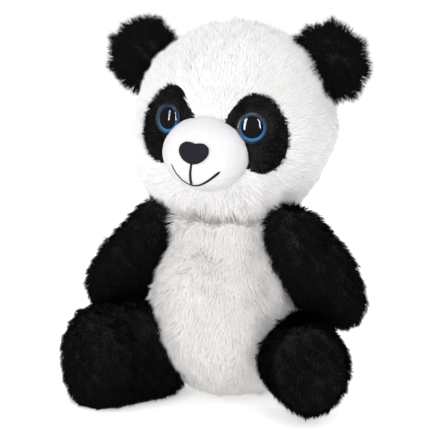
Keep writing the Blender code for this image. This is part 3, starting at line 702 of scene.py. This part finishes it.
def make_body():
    panels = ["belly_panel", "back_yoke", "lower_back_panel", "seat_panel"]
    collar = 0.0120
    neck = Vector(spot("neck_stuffing")) - Vector((0, 0, 0.0030))
    cover = cover_of("body_cover", "torso", panels, ["body_stuffing"], ["back_yoke"],
                     voxel=0.0045, shrink=0.0012, most=0.0040, lumps=0.0009,
                     seed=57, rolls=[(neck, (0.043, 0.038, collar))])
    # belly, lower back and seat take the white pile's darker copy, whose colour is painted shade
    piles = {"belly_panel": ("belly_pile_painted_shade", BELLY_FUR_PAINTED_SHADE, BELLY, "white_pile"),
             "back_yoke": ("yoke_pile", BLACK_FUR, BLACK, "black_pile"),
             "lower_back_panel": ("lower_back_pile", BELLY_FUR_PAINTED_SHADE, BELLY, "white_pile"),
             "seat_panel": ("seat_pile", BELLY_FUR_PAINTED_SHADE, SOLE, "white_pile")}
    top = neck[2] - collar

    def nap_at(roots, normals):
        """Down the body, and leaning less round the neck."""
        up = within((roots[:, 2:3] - top) / collar)
        return DOWN * (1 - 0.55 * up)

    def reach_at(roots):
        """Longer round the neck, to close it."""
        return 1 + 0.45 * within((roots[:, 2] - top - 0.003) / 0.010)

    grow(cover, "torso", panels, piles, nap_at, reach_at, 61)


# how far inwards, and how much fuller at the shoulder, halfway down and at the paw
ARM_PRESS = {"left": (0.0087, 0.14, 0.33, 0.03), "right": (0.0072, -0.02, 0.06, 0.32)}


def make_arm(side, seed):
    shift, shoulder, halfway, paw = ARM_PRESS[side]
    panels = [side + "_arm_outer_panel", side + "_arm_inner_panel"]
    points = points_of(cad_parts[side + "_arm_stuffing"])
    middle = points.mean(0)
    axis = np.linalg.svd(points - middle, full_matrices=False)[2][0]
    axis = -axis if axis[2] > 0 else axis   # from the shoulder to the paw
    along = (points - middle) @ axis
    inwards = unit(np.array([-middle[0], -0.35 * abs(middle[0]), 0.0]))

    def pressed(points):
        """The arm as it lies: full at the shoulder, where it leans on the body."""
        off = points - middle
        share = within((off @ axis - along.min()) / np.ptp(along))[:, None]
        across = off - axis * (off @ axis)[:, None]
        fuller = shoulder * (1 - share) + halfway * np.sin(math.pi * share) + paw * share
        return (points + across * fuller
                + inwards * shift * (1 - share) ** 0.4
                - axis * 0.0030 * within(1 - 3 * share))

    cover = cover_of(side + "_arm_cover", side + "_arm", panels, [side + "_arm_stuffing"],
                     panels, voxel=0.0040, shrink=0.0010, most=0.0025,
                     lumps=0.0006, seed=seed, shape=pressed)
    piles = {panel: (side + "_arm_pile", BLACK_FUR, BLACK, "black_pile") for panel in panels}
    grow(cover, side + "_arm", panels, piles, downwards, even, seed + 3)


# how much fuller, and how far to the panda's left
LEG_FULLER = {"left": (-0.0018, 0.0036), "right": (0.0054, 0.0036)}


def make_leg(side, seed):
    swell, aside = LEG_FULLER[side]

    def spread(points):
        return points + np.array([aside, 0.0, 0.0])

    panels = [side + part for part in ("_leg_outer_panel", "_leg_inner_panel", "_sole")]
    cover = cover_of(side + "_leg_cover", side + "_leg", panels, [side + "_leg_stuffing"],
                     panels, voxel=0.0042, shrink=-swell, most=0.0044,
                     lumps=0.0008, seed=seed, shape=spread, rounding=4)
    sole, leg = spot(side + "_sole"), spot(side + "_leg_stuffing")

    def nap_at(roots, normals):
        """Down and towards the sole, and straight down on the sole."""
        facing = within((normals @ unit(sole - leg) - 0.5) / 0.3)[:, None]
        return (DOWN + unit(sole - leg) * 0.7) * (1 - facing) + DOWN * facing

    piles = {}
    for panel in panels[:2]:
        piles[panel] = (side + "_leg_pile", BLACK_FUR, BLACK, "black_pile")
    piles[panels[2]] = (side + "_sole_pile", BLACK_FUR, SOLE, "black_pile")
    grow(cover, side + "_leg", panels, piles, nap_at, even, seed + 3)


# how far to the panda's right
EAR_ASIDE = {"left": 0.0045, "right": 0.0004}


def make_ear(side, seed):
    panels = [side + "_ear_front", side + "_ear_back"]
    middle = spot(side + "_ear_front")
    head = spot("head_stuffing")

    def leaning(points):
        return points - np.array([EAR_ASIDE[side], 0.0, 0.0018])

    cover = cover_of(side + "_ear_cover", side + "_ear", panels, [], panels,
                     voxel=0.0028, shrink=-0.0008, most=0.0022, lumps=0.0005, seed=seed,
                     shape=leaning)

    def nap_at(roots, normals):
        return unit(roots - middle) + unit(middle - head) * 0.45

    piles = {panel: (side + "_ear_pile", BLACK_FUR, EAR, "black_pile") for panel in panels}
    grow(cover, side + "_ear", panels, piles, nap_at, even, seed + 3)


def make_tail():
    cover = cover_of("tail_cover", "torso", ["tail"], [], [], voxel=0.0028,
                     shrink=0.0006, most=0.0012, lumps=0.0005, seed=83)
    piles = {"tail": ("tail_pile", WHITE_FUR, BELLY, "white_pile")}
    grow(cover, "torso", ["tail"], piles, downwards, even, 87)


def make_loose_part(name, node, body, finish, *, voxel, times, lumps, length, seed):
    """A part that a cover holds."""
    part = wrapped(name, [node], voxel)
    eased(part, times)
    lumpy(part, lumps, length, seed)
    part.data.materials.append(finish)
    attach(part, body)
    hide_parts(node)


# ---------------------------------------------------------------- muzzle and nose

def make_muzzle():
    """The muzzle; gives back a function that finds its face at (x, z)."""
    muzzle = wrapped("muzzle", ["muzzle_cover", "muzzle_stuffing"], 0.0016)
    eased(muzzle, 4, 0.0001)
    finer(muzzle)
    middle = spot("muzzle_cover")
    points = points_of(muzzle)
    off = points - middle
    fuller = np.where(off[:, 0] < 0, 0.09, 0.015) + 0.03 * within(-off[:, 2] / 0.02)
    points[:, 0] += off[:, 0] * fuller
    points[:, 2] += 0.04 * np.minimum(off[:, 2], 0)
    # the sewn edge runs back to the face below, where the face falls away to the chin
    rim, reach_back, drawn_in = 0.0040, 0.0095, 0.07
    edge = within((points[:, 1] - points[:, 1].max() + rim) / rim)
    edge *= within((0.004 - off[:, 2]) / 0.014)
    points[:, 1] += reach_back * edge
    points[:, 0] -= drawn_in * off[:, 0] * edge
    points[:, 2] -= drawn_in * off[:, 2] * edge
    set_points(muzzle, points)
    lumpy(muzzle, 0.00015, 0.02, 97)
    muzzle.data.materials.append(velour_finish())
    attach(muzzle, "head")
    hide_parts("muzzle_cover", "muzzle_stuffing")

    tree = BVHTree.FromPolygons([vert.co for vert in muzzle.data.vertices],
                                [face.vertices for face in muzzle.data.polygons])

    def on_muzzle(x, z):
        place, normal, _, _ = tree.ray_cast(Vector((x, -0.3, z)), Vector((0, 1, 0)))
        return place, normal

    return on_muzzle


def make_nose(on_muzzle):
    """A felt pad with a dip in its upper edge, pressed on the muzzle with a low crown."""
    nose = wrapped("nose_pad", ["nose"], 0.0005)
    eased(nose, 5, 0.0001)
    points = points_of(nose)
    low, high = points.min(0), points.max(0)
    centre = (low + high) / 2
    off = points - centre
    points[:, 0] += 0.10 * off[:, 0] - 0.0010
    upper = within(off[:, 2] / (high[2] - low[2]) * 2)
    dip = np.exp(-((off[:, 0] - 0.0005) / 0.0035) ** 2)
    points[:, 2] += -0.0014 - 0.0006 * upper * dip + 0.0003 * upper * (off[:, 0] < 0)
    half_wide, half_high, edge_height, crown_height = 0.0135, 0.0098, 0.0004, 0.0010
    for point in points:
        place, _ = on_muzzle(point[0], point[2])
        if place is not None:
            crown = max(0.0, 1 - ((point[0] - centre[0] + 0.001) / half_wide) ** 2
                        - ((point[2] - centre[2]) / half_high) ** 2)
            point[1] = min(point[1], place[1] - edge_height
                           - crown_height * math.sqrt(crown))
    set_points(nose, points)
    nose.data.materials.append(felt_finish())
    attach(nose, "head")
    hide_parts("nose")


def make_mouth(on_muzzle):
    """The smile and, up to the nose, the lip, both embroidered."""
    finish = thread_finish()
    smile = points_of(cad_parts["smile_thread"])
    lip = points_of(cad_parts["lip_thread"])
    start, end = smile[smile[:, 0].argmin()], smile[smile[:, 0].argmax()]
    foot = smile[smile[:, 2].argmin()]
    path = []
    steps = 32
    for i in range(steps + 1):
        share = i / steps
        bow = 4 * share * (1 - share)
        x = start[0] + (end[0] - start[0]) * share - 0.0008 - 0.0030 * bow
        line = start[2] + (end[2] - start[2]) * share + 0.0018 * (1 - share)
        sag = line - foot[2]
        path.append((x, line - (sag + 0.0004) * bow, 0.00055 + 0.00050 * share))
    stitch("smile_stitch", path, on_muzzle, finish, "smile_thread")
    x = lip[:, 0].mean() - 0.0014
    top, bottom = lip[:, 2].max() + 0.0012, foot[2] - 0.0002
    steps = 12
    path = [(x - 0.0040 * i / steps, top + (bottom - top) * i / steps,
             0.00085 + 0.00025 * i / steps) for i in range(steps + 1)]
    stitch("lip_stitch", path, on_muzzle, finish, "lip_thread")


def stitch(name, path, on_muzzle, finish, node):
    """Satin stitch laid on the muzzle: a low rounded cord through (x, z, half width)."""
    bm = bmesh.new()
    sides, flatness, end_size = 10, 0.8, 0.35
    places = [on_muzzle(x, z) for x, z, _ in path]
    last = len(places) - 1
    rows = []
    for i, (place, normal) in enumerate(places):
        ahead = places[min(i + 1, last)][0] - places[max(i - 1, 0)][0]
        across = ahead.cross(normal).normalized()
        half = path[i][2] * (end_size if i in (0, last) else 1.0)
        rows.append([bm.verts.new(place + across * half * math.cos(math.tau * j / sides)
                                  + normal * half * flatness * math.sin(math.tau * j / sides))
                     for j in range(sides)])
    for first, second in zip(rows, rows[1:]):
        for j in range(sides):
            after = (j + 1) % sides
            bm.faces.new([first[j], first[after], second[after], second[j]])
    bm.faces.new(rows[0])
    bm.faces.new(rows[-1][::-1])
    bmesh.ops.recalc_face_normals(bm, faces=bm.faces)
    obj = new_piece(name, bm)
    obj.data.materials.append(finish)
    obj.data.shade_smooth()
    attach(obj, "head")
    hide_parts(node)


# ---------------------------------------------------------------- eyes

SMALLEST = 1e-6
# how far each eye is moved aside, to sit in the fuller face
EYE_ASIDE = {"left": -0.0008, "right": 0.0010}
EYE_LOWER = 0.0012


def lens_finish():
    """Clear plastic dome: it shows what lies under it, and its own reflections."""
    made = Nodes("clear_lens")
    made.set(Base_Color=(1.0, 1.0, 1.0), Metallic=1.0, Roughness=0.03)
    fresnel = made.add("ShaderNodeFresnel", {}, {"IOR": 1.38})[0]
    clear = made.add("ShaderNodeBsdfTransparent", {}, {"Color": (0.97, 0.975, 0.98)})[0]
    both = made.add("ShaderNodeMixShader", {}, [fresnel * 1.6 + 0.02, clear])
    node = both[0].socket.node
    made.tree.links.new(made.shader.outputs[0], node.inputs[2])
    output = made.tree.nodes["Material Output"]
    made.tree.links.new(both[0].socket, output.inputs[0])
    return made.material


def iris_finish(name, height, radius):
    """Blue moulded disc with fine rays, and painted light: deep at the top and clear blue at the
    foot.
    """
    made = Nodes(name)
    place = made.add("ShaderNodeSeparateXYZ", {}, [made.place()])[2]
    # painted light: height over the disc, which makes its foot lighter and its top darker
    rise = ((place - (height - radius)) * (0.5 / radius)).clamped()
    rays = made.noise(900.0, 2.0)
    colour = made.ramp(rise, (0.0, (0.040, 0.225, 0.47)), (0.35, (0.024, 0.150, 0.35)),
                       (0.75, (0.012, 0.085, 0.22)), (1.0, (0.008, 0.050, 0.14)))
    made.set(Base_Color=made.mix(rays * 0.3, colour, (0.012, 0.09, 0.22)), Roughness=0.4,
             Specular_IOR_Level=0.15)
    return made.material


def dress(node, finish):
    """Gives a CAD node a finish of its own."""
    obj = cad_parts[node]
    for slot in obj.material_slots:
        slot.material = finish
    obj.data.shade_smooth()


def turned(name, base, axis, profile, finish, segments=64):
    """A form turned round an axis from (radius, height) points."""
    bm = bmesh.new()
    lean = Vector(axis).normalized().to_track_quat("Z", "Y").to_matrix().to_4x4()
    matrix = Matrix.Translation(Vector(base)) @ lean
    rings = []
    for radius, height in profile:
        if radius < SMALLEST:
            rings.append([bm.verts.new(matrix @ Vector((0, 0, height)))])
        else:
            rings.append([bm.verts.new(matrix @ Vector((
                radius * math.cos(math.tau * i / segments),
                radius * math.sin(math.tau * i / segments), height)))
                for i in range(segments)])
    for lower, upper in zip(rings, rings[1:]):
        for i in range(segments):
            j = (i + 1) % segments
            face = [lower[i % len(lower)], lower[j % len(lower)],
                    upper[j % len(upper)], upper[i % len(upper)]]
            face = [v for n, v in enumerate(face) if v not in face[:n]]
            bm.faces.new(face)
    bmesh.ops.recalc_face_normals(bm, faces=bm.faces)
    obj = new_piece(name, bm)
    obj.data.materials.append(finish)
    obj.data.shade_smooth()
    return obj


def along_axis(node, base, axis):
    """A round CAD node's widest radius, and its lowest and highest place on its axis."""
    points = points_of(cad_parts[node]) - base
    height = points @ axis
    radius = np.linalg.norm(points - axis * height[:, None], axis=1)
    return float(radius.max()), float(height.min()), float(height.max())


def dome(radius, low, rise, steps=10):
    """A quarter of an ellipse, from the rim to the top, as (radius, height) points."""
    return [(radius * math.cos(math.pi / 2 * i / steps),
             low + rise * math.sin(math.pi / 2 * i / steps)) for i in range(steps + 1)]


def make_eyes():
    lens = lens_finish()
    black = moulded_finish("black_pupil", (0.002, 0.002, 0.003), 0.5, 0.0)
    black.node_tree.nodes["Principled BSDF"].inputs["Specular IOR Level"].default_value = 0.04
    halo = moulded_finish("dark_rim", (0.004, 0.009, 0.022), 0.3, 0.1)
    washer_finish = moulded_finish("washer_plastic", (0.80, 0.80, 0.78), 0.45, 0.0)
    for side in SIDES:
        washer = side + "_eye_washer"
        dress(washer, washer_finish)
        base = spot(washer) + np.array([EYE_ASIDE[side], 0, -EYE_LOWER])
        axis = unit(spot(side + "_pupil") - spot(washer))
        radius, low, high = along_axis(side + "_eye_lens", base, axis)
        pupil_radius, pupil_low, pupil_high = along_axis(side + "_pupil", base, axis)
        back_radius, back_low, _ = along_axis(side + "_eye_back", base, axis)
        centre = base + axis * pupil_low
        blue = iris_finish(side + "_blue_iris", float(centre[2]), radius * 0.86)
        post = [(0.0, back_low), (0.0021, back_low), (0.0022, low - 0.0021)]
        rim = [(back_radius - 0.0008, low - 0.0019), (back_radius, low - 0.0012),
               (back_radius, low - 0.0002), (back_radius * 0.90, low + 0.0001)]
        face = [(back_radius * 0.86, pupil_low - 0.0001),
                (pupil_radius * 0.5, pupil_low - 0.0002), (0.0, pupil_low - 0.0002)]
        back = turned(side + "_eye_disc", base, axis, post + rim + face, blue)
        back.data.materials.append(halo)
        for polygon in back.data.polygons:
            away = np.array(polygon.center) - base
            far = np.linalg.norm(away - axis * (away @ axis))
            polygon.material_index = int(far > back_radius * 0.87)
        lift = np.array([0.0, 0.0, 1.0]) - axis * axis[2]
        pupil = turned(side + "_pupil_dome", base + unit(lift) * 0.0006, axis,
                       [(0.0, pupil_low - 0.0001)]
                       + dome(pupil_radius, pupil_low, pupil_high - pupil_low), black)
        clear = turned(side + "_lens_dome", base, axis,
                       dome(radius, low, high - low, 16), lens, 96)
        for piece, node, slot in ((back, "_eye_back", "blue_iris"),
                                  (pupil, "_pupil", "black_pupil"),
                                  (clear, "_eye_lens", "clear_lens")):
            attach(piece, "head")
            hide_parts(side + node)


# ---------------------------------------------------------------- label

def make_label():
    """A blank ribbon, folded over once, with its ends in the side seam."""
    width, length = 0.018, 0.048
    points = points_of(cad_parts["care_label"])
    middle = (points.min(0) + points.max(0)) / 2
    ways = np.linalg.svd(points - points.mean(0), full_matrices=False)[2]
    out, across, thick = ways
    if out @ (middle - spot("body_stuffing")) < 0:
        out = -out
    half_leaf, half_width = length / 4, width / 2
    steps, strips = 14, 8
    bm = bmesh.new()
    rows = []
    for leaf in (1, -1):
        for i in range(steps + 1):
            share = i / steps if leaf == 1 else 1 - i / steps
            gap = 0.00022 * min(1.0, 3 * (1 - share) ** 0.5 + 0.25)
            sway = 0.0002 * math.sin(share * 2.2)
            at = middle + out * (share * 2 - 1) * half_leaf + thick * (leaf * gap + sway)
            rows.append([bm.verts.new(at + across * half_width * (2 * j / strips - 1))
                         for j in range(strips + 1)])
    for first, second in zip(rows, rows[1:]):
        for j in range(strips):
            bm.faces.new([first[j], first[j + 1], second[j + 1], second[j]])
    label = new_piece("care_label_ribbon", bm)
    label.data.materials.append(satin_finish())
    label.data.shade_smooth()
    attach(label, "torso")
    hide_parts("care_label")


# ---------------------------------------------------------------- studio

TARGET = Vector((0.0, 0.0175, 0.140))


def floor_finish():
    made = Nodes("floor_paint")
    grain = made.noise(3.0, 2.0)
    made.set(Base_Color=made.mix(grain, (0.8865, 0.8865, 0.8865), (0.90, 0.90, 0.90)),
             Roughness=0.9, Specular_IOR_Level=0.1, Emission_Color=(1.0, 1.0, 1.0),
             Emission_Strength=0.45)
    return made.material


def make_floor():
    """A plain pale floor, so wide that it fills every view."""
    bm = bmesh.new()
    sides = 48
    rings = []
    for radius in (0.5, 1.5, 5.0, 15.0, 40.0):
        rings.append([bm.verts.new((radius * math.cos(math.tau * i / sides),
                                    radius * math.sin(math.tau * i / sides), 0))
                      for i in range(sides)])
    bm.faces.new(rings[0])
    for inner, outer in zip(rings, rings[1:]):
        for i in range(sides):
            j = (i + 1) % sides
            bm.faces.new([inner[i], outer[i], outer[j], inner[j]])
    floor = new_piece("floor", bm)
    floor.data.materials.append(floor_finish())
    floor.visible_glossy = False


def away_from(azimuth, elevation):
    """A way out from the middle, azimuth 0 being the panda's front."""
    a, e = math.radians(azimuth), math.radians(elevation)
    return Vector((math.sin(a) * math.cos(e), -math.cos(a) * math.cos(e), math.sin(e)))


def make_lamp(name, azimuth, elevation, distance, size, power):
    """A softbox, its place given round the target from the front."""
    light = bpy.data.lights.new(name, "AREA")
    light.shape = "RECTANGLE"
    light.size, light.size_y = size
    light.energy = power
    lamp = bpy.data.objects.new(name, light)
    bpy.context.scene.collection.objects.link(lamp)
    away = away_from(azimuth, elevation)
    lamp.location = TARGET + away * distance
    lamp.rotation_euler = away.to_track_quat("Z", "Y").to_euler()


def make_camera():
    scene = bpy.context.scene
    azimuth, elevation, distance = 20, 9.5, 1.3
    back = away_from(azimuth, elevation)
    right = Vector((math.cos(math.radians(azimuth)), math.sin(math.radians(azimuth)), 0))
    up = back.cross(right)
    place = TARGET + back * distance
    aim = TARGET - right * 0.0148 - up * 0.0081
    camera = bpy.data.objects.new("camera", bpy.data.cameras.new("camera"))
    camera.data.lens = 147.1
    camera.data.sensor_width = 36.0
    camera.data.clip_end = 50.0
    camera.location = place
    camera.rotation_euler = (place - aim).to_track_quat("Z", "Y").to_euler()
    scene.collection.objects.link(camera)
    scene.camera = camera


def make_world():
    """A pale room: dimmer in reflections, and plain white behind the panda."""
    world = bpy.data.worlds.new("studio")
    world.use_nodes = True
    nodes, link = world.node_tree.nodes, world.node_tree.links.new
    path = nodes.new("ShaderNodeLightPath")
    sky = (0.95, 0.97, 1.0, 1.0)
    backgrounds = (nodes["Background"], nodes.new("ShaderNodeBackground"),
                   nodes.new("ShaderNodeBackground"))
    looks = ((sky, 0.74), (sky, 0.15), ((1.0, 1.0, 1.0, 1.0), 1.0))
    for background, (colour, strength) in zip(backgrounds, looks):
        background.inputs["Color"].default_value = colour
        background.inputs["Strength"].default_value = strength
    shown = backgrounds[0].outputs[0]
    for ray, background in zip(("Is Glossy Ray", "Is Camera Ray"), backgrounds[1:]):
        both = nodes.new("ShaderNodeMixShader")
        link(path.outputs[ray], both.inputs[0])
        link(shown, both.inputs[1])
        link(background.outputs[0], both.inputs[2])
        shown = both.outputs[0]
    link(shown, nodes["World Output"].inputs[0])
    bpy.context.scene.world = world


def make_studio():
    make_camera()
    make_world()
    bpy.context.scene.view_settings.view_transform = "Standard"
    make_floor()
    make_lamp("key_softbox", -3, 19, 1.5, (0.19, 1.0), 8.5)
    make_lamp("side_softbox", 43, 19, 1.6, (0.17, 0.9), 5.5)
    make_lamp("far_softbox", -46, 18, 1.6, (0.16, 0.9), 4.6)
    make_lamp("top_softbox", 10, 82, 1.6, (1.2, 1.2), 4.0)
    make_lamp("back_softbox", 165, 40, 1.8, (1.0, 1.0), 7.0)


# ---------------------------------------------------------------- assembly

make_studio()
make_head()
make_body()
for place, side in enumerate(SIDES):
    make_arm(side, 101 + 20 * place)
    make_leg(side, 151 + 20 * place)
    make_ear(side, 201 + 20 * place)
make_tail()
make_loose_part("neck_filling", "neck_stuffing", "neck", filling_finish(),
                voxel=0.0020, times=2, lumps=0.0004, length=0.018, seed=91)
make_loose_part("pellet_bag", "seat_pellet_bag", "torso", plain_weave_finish(),
                voxel=0.0022, times=3, lumps=0.0005, length=0.014,
                seed=95)
on_muzzle = make_muzzle()
make_nose(on_muzzle)
make_mouth(on_muzzle)
make_eyes()
make_label()
